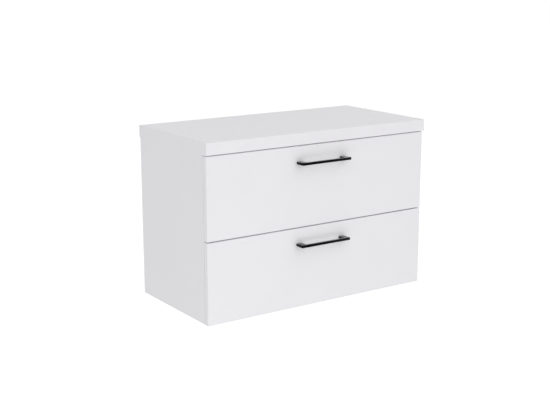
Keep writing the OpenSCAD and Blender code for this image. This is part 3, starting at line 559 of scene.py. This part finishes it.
zinc_plate, tree, shader, place = new_material("zinc_plated_steel", Metallic=1.0)
film = add_node(tree, "ShaderNodeTexNoise", {"Vector": place, "Scale": 1 / zinc_patch, "Detail": 3})
tone = add_node(tree, "ShaderNodeMix", {
    "Factor": film.outputs[0], mix_from: zinc_tones[0], mix_to: zinc_tones[1]}, data_type="RGBA")
sheen = add_node(tree, "ShaderNodeMapRange", {
    "Value": film.outputs[0], "To Min": zinc_roughness[0], "To Max": zinc_roughness[1]})
feed(shader, Base_Color=tone.outputs[mixed], Roughness=sheen.outputs[0])


def thread(pitch, share, plain):
    """The tree's inputs for a thread that takes a share of the radius, past a plain length of shank."""
    return lambda length: {"Groove share": share, "Turns per metre": 1 / pitch, "Starts": 1.0,
                           "Groove from": plain, "Groove to": length, "Run-out": pitch}


def rings(start, end, radius, pitch, per_turn=5):
    """Points along a shaft, close enough together to carry a thread."""
    count = max(1, round((end - start) / pitch * per_turn))
    return [(radius, start + (end - start) * i / count) for i in range(count + 1)]


def quarter_dome(radius, rise, steps):
    """Points from the top of a dome down to its rim."""
    arc = [math.radians(90 * k / steps) for k in range(steps + 1)]
    return [(radius * math.sin(a), rise * (1 - math.cos(a))) for a in arc]


pan_r = 4 * mm
pan_h = 2.4 * mm
pan_dome_h = 1.5 * mm
screw_r = 2 * mm
wood_pitch = 1.8 * mm
wood_point = 3 * mm
metal_pitch = 0.7 * mm
metal_point = 0.6 * mm
nose_r = 0.7 * mm
nose_share = 0.12  # of the point, that the rounded nose takes
recess_size = (2.2 * mm, 1 * mm, 1.4 * mm)  # half its reach, its slot's width and its depth


def pan_screw(pitch, point):
    """The profile of a pan-head screw whose shank narrows to its nose over the length of its point."""
    head = quarter_dome(pan_r, pan_dome_h, steps=5) + [(pan_r, pan_h), (screw_r, pan_h)]
    return lambda length: head + rings(pan_h, length - point, screw_r, pitch)[1:] + [
        (nose_r, length - point * nose_share), (0, length)]


# The way into its hole for a fitting whose middle is given. Those along the cabinet's width go by the
# side that they are on.


def inwards(middle):
    return (-math.copysign(1, middle.x), 0, 0)


def outwards(middle):
    return (math.copysign(1, middle.x), 0, 0)


def upwards(middle):
    return (0, 0, 1)


def forwards(middle):
    return (0, -1, 0)


def backwards(middle):
    return (0, 1, 0)


wood_groove = 0.32  # how far a thread cuts in, as a share of the radius
metal_groove = 0.2
front_shank = 1 * mm  # the plain shank below the head
worktop_shank = 16 * mm
handle_shank = 10 * mm
wood_screw = pan_screw(wood_pitch, wood_point)
wood_thread = thread(wood_pitch, wood_groove, pan_h + front_shank)

repeat_fitting("worktop_screws", upwards, wood_screw, zinc_plate, recess=recess_size,
               groove=thread(wood_pitch, wood_groove, pan_h + worktop_shank))
for drawer in drawers:
    repeat_fitting(f"{drawer}_front_screws", forwards, wood_screw, zinc_plate, recess=recess_size,
                   groove=wood_thread)
    repeat_fitting(f"{drawer}_runner_slide_screws", inwards, wood_screw, zinc_plate,
                   recess=recess_size, groove=wood_thread)
    repeat_fitting(f"{drawer}_handle_screws", forwards, pan_screw(metal_pitch, metal_point), zinc_plate,
                   steps=16, recess=recess_size,
                   groove=thread(metal_pitch, metal_groove, pan_h + handle_shank))

csk_r = 4.4 * mm
csk_h = 2.6 * mm
csk_rim = 0.2 * mm
euro_screw_r = 2.5 * mm
euro_screw_point = 0.8 * mm
euro_groove = 0.25  # of the radius, as for every thread
euro_tip_r = 1.5 * mm
euro_shank = 0.5 * mm


def euro_screw(length):
    """A countersunk head on a short, thick shank that ends blunt."""
    head = [(0, 0), (csk_r, 0), (csk_r, csk_rim), (euro_screw_r, csk_h)]
    shank = rings(csk_h, length - euro_screw_point, euro_screw_r, wood_pitch)[1:]
    return head + shank + [(euro_tip_r, length), (0, length)]


repeat_fitting("runner_channel_screws", outwards, euro_screw, zinc_plate, recess=recess_size,
               groove=thread(wood_pitch, euro_groove, csk_h + euro_shank))

set_screw_r = 3 * mm
set_screw_chamfer = 0.4 * mm
set_screw_point = 0.5 * mm
set_screw_pitch = 1 * mm
set_screw_groove = 0.18


def set_screw(length):
    """A headless screw, chamfered at both ends."""
    shank = rings(set_screw_chamfer, length - set_screw_point, set_screw_r, set_screw_pitch)
    return [(0, 0), (set_screw_r - set_screw_chamfer, 0)] + shank + [
        (set_screw_r - set_screw_point, length), (0, length)]


repeat_fitting("hanger_adjusting_screws", backwards, set_screw, zinc_plate, recess=recess_size,
               groove=thread(set_screw_pitch, set_screw_groove, 0))

bolt_head_r = 3.2 * mm
bolt_head_h = 3 * mm
bolt_head_flat = 1.9 * mm
bolt_head_round = 0.6 * mm
bolt_neck_r = 2 * mm
bolt_collar_h = 1.5 * mm
bolt_collar_slope = 0.4 * mm
bolt_thread_r = 2.5 * mm
bolt_thread_l = 11 * mm
bolt_thread_pitch = 2 * mm
bolt_groove = 0.25
bolt_point = 1 * mm
bolt_tip_r = 1.5 * mm


def cam_bolt(length):
    """A ball-ended head, a slim neck, a collar that stops on the panel, and a coarse thread."""
    seat = length - bolt_thread_l
    collar = seat - bolt_collar_h
    head = [(0, 0), (bolt_head_flat, 0), (bolt_head_r, bolt_head_round),
            (bolt_head_r, bolt_head_h - bolt_head_round), (bolt_neck_r, bolt_head_h)]
    neck = [(bolt_neck_r, collar - bolt_collar_slope), (bolt_head_r, collar), (bolt_head_r, seat)]
    coarse = rings(seat, length - bolt_point, bolt_thread_r, bolt_thread_pitch)
    return head + neck + coarse + [(bolt_tip_r, length), (0, length)]


def bolt_thread(length):
    """The tree's inputs for the thread behind the collar."""
    return thread(bolt_thread_pitch, bolt_groove, length - bolt_thread_l)(length)


repeat_fitting("cam_bolts", outwards, cam_bolt, zinc_plate, groove=bolt_thread)

# Turned beech: warm and pale, with short darker flecks along the dowel
beech_tones = (linear("#b98f5e"), linear("#dcc096"))
beech_roughness = 0.6
fleck_w = 0.7 * mm
fleck_lie = 0.12  # a fleck's width for its length
fleck_deep = 0.04 * mm

beech, tree, shader, place = new_material("fluted_beech_dowel", Roughness=beech_roughness, IOR=1.5)
along = add_node(tree, "ShaderNodeMapping", {"Vector": place, "Scale": (fleck_lie, 1, 1)}).outputs[0]
fibres = add_node(tree, "ShaderNodeTexNoise", {"Vector": along, "Scale": 1 / fleck_w, "Detail": 3})
tone = add_node(tree, "ShaderNodeMix", {
    "Factor": fibres.outputs[0], mix_from: beech_tones[0], mix_to: beech_tones[1]}, data_type="RGBA")
relief = add_node(tree, "ShaderNodeBump", {"Height": fibres.outputs[0], "Distance": fleck_deep})
feed(shader, Base_Color=tone.outputs[mixed], Normal=relief.outputs[0])


dowel_chamfer_share = 0.25  # of its radius


def dowel(radius):
    """The profile of a dowel, chamfered at both ends."""
    chamfer = radius * dowel_chamfer_share
    return lambda length: [(0, 0), (radius - chamfer, 0), (radius, chamfer), (radius, 2 * chamfer),
                           (radius, length - 2 * chamfer), (radius, length - chamfer),
                           (radius - chamfer, length), (0, length)]


flute_count = 14
flute_share = 0.09  # of the radius
flute_margin = 0.6 * mm
flute_run_out = 0.4 * mm
dowel_steps = 4 * flute_count


def flutes(length):
    """The tree's inputs for straight flutes that stop short of both ends."""
    return {"Groove share": flute_share, "Turns per metre": 0.0, "Starts": float(flute_count),
            "Groove from": flute_margin, "Groove to": length - flute_margin, "Run-out": flute_run_out}


carcass_dowel_r = 4 * mm
box_dowel_r = 3 * mm
for node, radius in (("wooden_dowels", carcass_dowel_r), ("upper_box_dowels", box_dowel_r),
                     ("lower_box_dowels", box_dowel_r)):
    repeat_fitting(node, outwards, dowel(radius), beech, steps=dowel_steps, groove=flutes)

# ---------- cam locks ----------
# Discs of die-cast zinc that turn in the boards and draw the cam bolts tight. Each has a cross for the
# screwdriver, and the slight grain of its mould.

# Raw zinc casting: a dull, even metal with the grain of its mould
cast_grey = linear("#a9abad")
cast_roughness = (0.38, 0.55)
cast_grain = 0.9 * mm
cast_grain_deep = 0.03 * mm

die_cast, tree, shader, place = new_material("die_cast_zinc", Base_Color=cast_grey, Metallic=1.0)
skin = add_node(tree, "ShaderNodeTexNoise", {"Vector": place, "Scale": 1 / cast_grain, "Detail": 3})
sheen = add_node(tree, "ShaderNodeMapRange", {
    "Value": skin.outputs[0], "To Min": cast_roughness[0], "To Max": cast_roughness[1]})
relief = add_node(tree, "ShaderNodeBump", {"Height": skin.outputs[0], "Distance": cast_grain_deep})
feed(shader, Roughness=sheen.outputs[0], Normal=relief.outputs[0])
coat(die_cast, "cam_locks")

# ---------- front buffers ----------
# Clear polyurethane drops, stuck to the carcass's front edges so that the drawers close softly. Each is
# a low dome with a soft foot.

# Cast clear polyurethane: glassy and faintly milky, so that a drop shows mostly by its rim
drop_tint = linear("#f1f4f5")
drop_clearness = 0.85  # the share of the light that goes through
drop_roughness = (0.1, 0.25)
drop_bloom = 1.5 * mm

soft_clear, tree, shader, place = new_material(
    "clear_polyurethane", Base_Color=drop_tint, IOR=1.49, Transmission_Weight=drop_clearness)
bloom = add_node(tree, "ShaderNodeTexNoise", {"Vector": place, "Scale": 1 / drop_bloom})
sheen = add_node(tree, "ShaderNodeMapRange", {
    "Value": bloom.outputs[0], "To Min": drop_roughness[0], "To Max": drop_roughness[1]})
feed(shader, Roughness=sheen.outputs[0])

drop_r = 4 * mm
drop_dome_share = 0.8  # of its height, above the straight foot


def buffer_dome(length):
    """The profile of a low dome on a straight foot."""
    return quarter_dome(drop_r, length * drop_dome_share, steps=6) + [(drop_r, length), (0, length)]


repeat_fitting("front_buffers", backwards, buffer_dome, soft_clear, steps=24)

# ---------- wall hangers ----------
# Moulded plastic housings and caps, with pressed and galvanised steel hooks and wall plates. The trap
# surround in the upper drawer is moulded from the same plastic.

# Moulded ABS from a spark-eroded tool: a matt, fine-grained white with soft flow marks
abs_tones = (linear("#dfe0e1"), linear("#e8e9ea"))
abs_roughness = (0.42, 0.56)
spark_grain = 0.9 * mm
spark_deep = 0.02 * mm
flow_mark = 40 * mm

moulded, tree, shader, place = new_material("moulded_white_abs", IOR=1.53)
spark = add_node(tree, "ShaderNodeTexNoise", {"Vector": place, "Scale": 1 / spark_grain, "Detail": 2})
flow = add_node(tree, "ShaderNodeTexNoise", {"Vector": place, "Scale": 1 / flow_mark})
tone = add_node(tree, "ShaderNodeMix", {
    "Factor": flow.outputs[0], mix_from: abs_tones[0], mix_to: abs_tones[1]}, data_type="RGBA")
sheen = add_node(tree, "ShaderNodeMapRange", {
    "Value": spark.outputs[0], "To Min": abs_roughness[0], "To Max": abs_roughness[1]})
relief = add_node(tree, "ShaderNodeBump", {"Height": spark.outputs[0], "Distance": spark_deep})
feed(shader, Base_Color=tone.outputs[mixed], Roughness=sheen.outputs[0], Normal=relief.outputs[0])
coat(moulded, "left_hanger_housing", "right_hanger_housing", "hanger_cover_caps", "upper_trap_surround")

# Hot-dipped strip, skin passed: a soft silver with rolling lines from front to back and a faint spangle
strip_tones = (linear("#b0b4b8"), linear("#b8bbbe"))
strip_roughness = (0.26, 0.44)
roll_line = 0.8 * mm
roll_lie = 0.03  # a rolling line's width for its length
roll_deep = 0.01 * mm
spangle_w = 5 * mm

galvanised, tree, shader, place = new_material("galvanised_strip_steel", Metallic=1.0)
along = add_node(tree, "ShaderNodeMapping", {"Vector": place, "Scale": (1, roll_lie, 1)}).outputs[0]
roll = add_node(tree, "ShaderNodeTexNoise", {"Vector": along, "Scale": 1 / roll_line, "Detail": 3})
spangle = add_node(tree, "ShaderNodeTexVoronoi", {"Vector": place, "Scale": 1 / spangle_w})
spangle_tone = add_node(tree, "ShaderNodeSeparateColor", {0: spangle.outputs["Color"]})
tone = add_node(tree, "ShaderNodeMix", {
    "Factor": spangle_tone.outputs[0], mix_from: strip_tones[0], mix_to: strip_tones[1]},
    data_type="RGBA")
sheen = add_node(tree, "ShaderNodeMapRange", {
    "Value": roll.outputs[0], "To Min": strip_roughness[0], "To Max": strip_roughness[1]})
relief = add_node(tree, "ShaderNodeBump", {"Height": roll.outputs[0], "Distance": roll_deep})
feed(shader, Base_Color=tone.outputs[mixed], Roughness=sheen.outputs[0], Normal=relief.outputs[0])
coat(galvanised, "left_hanger_hook", "right_hanger_hook", "wall_plates")

# ---------- drawer runners ----------
# Three members of rolled, galvanised strip that run in one another on two rows of hardened balls, which
# bright steel retainers keep apart.

# Lapped bearing steel: a near mirror, a little duller where the lapping crossed
bearing_silver = linear("#c5c6c7")
bearing_roughness = (0.12, 0.24)
lapping_grain = 1.2 * mm

bearing, tree, shader, place = new_material(
    "polished_bearing_steel", Base_Color=bearing_silver, Metallic=1.0)
lapping = add_node(tree, "ShaderNodeTexNoise", {
    "Vector": place, "Scale": 1 / lapping_grain, "Detail": 3})
sheen = add_node(tree, "ShaderNodeMapRange", {
    "Value": lapping.outputs[0], "To Min": bearing_roughness[0], "To Max": bearing_roughness[1]})
feed(shader, Roughness=sheen.outputs[0])

for drawer in drawers:
    for side in ("left", "right"):
        coat(galvanised, *(
            f"{drawer}_{side}_runner_{member}" for member in ("channel", "middle", "slide")))
    coat(bearing, *(f"{drawer}_{row}_ball_retainers" for row in ("outer", "inner")))

# ---------- drawer boxes ----------
# Particle board wrapped in a light grey foil with a linen emboss, whose threads run along and across
# each board.

# Embossed polymer foil: a soft neutral grey, with painted shade in the valleys of its crossed threads
# and a painted highlight on their crests
linen_shade_and_highlight_tones = (linear("#c6c6c8"), linear("#d4d4d6"))
linen_roughness = (0.42, 0.58)
linen_pitch = 1.5 * mm  # really about 0.7 mm, drawn coarser so that it shows
linen_deep = 0.05 * mm
linen_crest = 2  # the height at which the crests of two crossing threads meet, each being 1 high
slub_l = 6 * mm
slub_wander = 5.0  # radians by which a slub pushes the threads aside

linen, tree, shader, place = new_material("linen_foil_on_board", IOR=1.5)
slub = add_node(tree, "ShaderNodeTexNoise", {"Vector": place, "Scale": 1 / slub_l, "Detail": 3})
pushed = add_node(tree, "ShaderNodeMath", {0: slub.outputs[0], 1: slub_wander}, operation="MULTIPLY")
axes = add_node(tree, "ShaderNodeSeparateXYZ", {0: place})
waves = []
for axis in "XYZ":
    phase = add_node(tree, "ShaderNodeMath", {
        0: axes.outputs[axis], 1: 2 * math.pi / linen_pitch, 2: pushed.outputs[0]},
        operation="MULTIPLY_ADD")
    waves.append(add_node(tree, "ShaderNodeMath", {0: phase.outputs[0]}, operation="SINE").outputs[0])
two_ways = add_node(tree, "ShaderNodeMath", {0: waves[0], 1: waves[1]}, operation="ADD")
threads = add_node(tree, "ShaderNodeMath", {0: two_ways.outputs[0], 1: waves[2]}, operation="ADD")
shade = add_node(tree, "ShaderNodeMapRange", {
    "Value": threads.outputs[0], "From Min": -linen_crest, "From Max": linen_crest})
# The tone follows the emboss's height: painted shade in the threads' valleys and a painted highlight on
# their crests
tone = add_node(tree, "ShaderNodeMix", {
    "Factor": shade.outputs[0], mix_from: linen_shade_and_highlight_tones[0], mix_to: linen_shade_and_highlight_tones[1]}, data_type="RGBA")
sheen = add_node(tree, "ShaderNodeMapRange", {
    "Value": slub.outputs[0], "To Min": linen_roughness[0], "To Max": linen_roughness[1]})
relief = add_node(tree, "ShaderNodeBump", {"Height": shade.outputs[0], "Distance": linen_deep})
feed(shader, Base_Color=tone.outputs[mixed], Roughness=sheen.outputs[0], Normal=relief.outputs[0])

coat(linen, "upper_box_backs", "lower_box_back", *(
    f"{drawer}_box_{board}" for drawer in drawers
    for board in ("left_side", "right_side", "front", "bottom")))
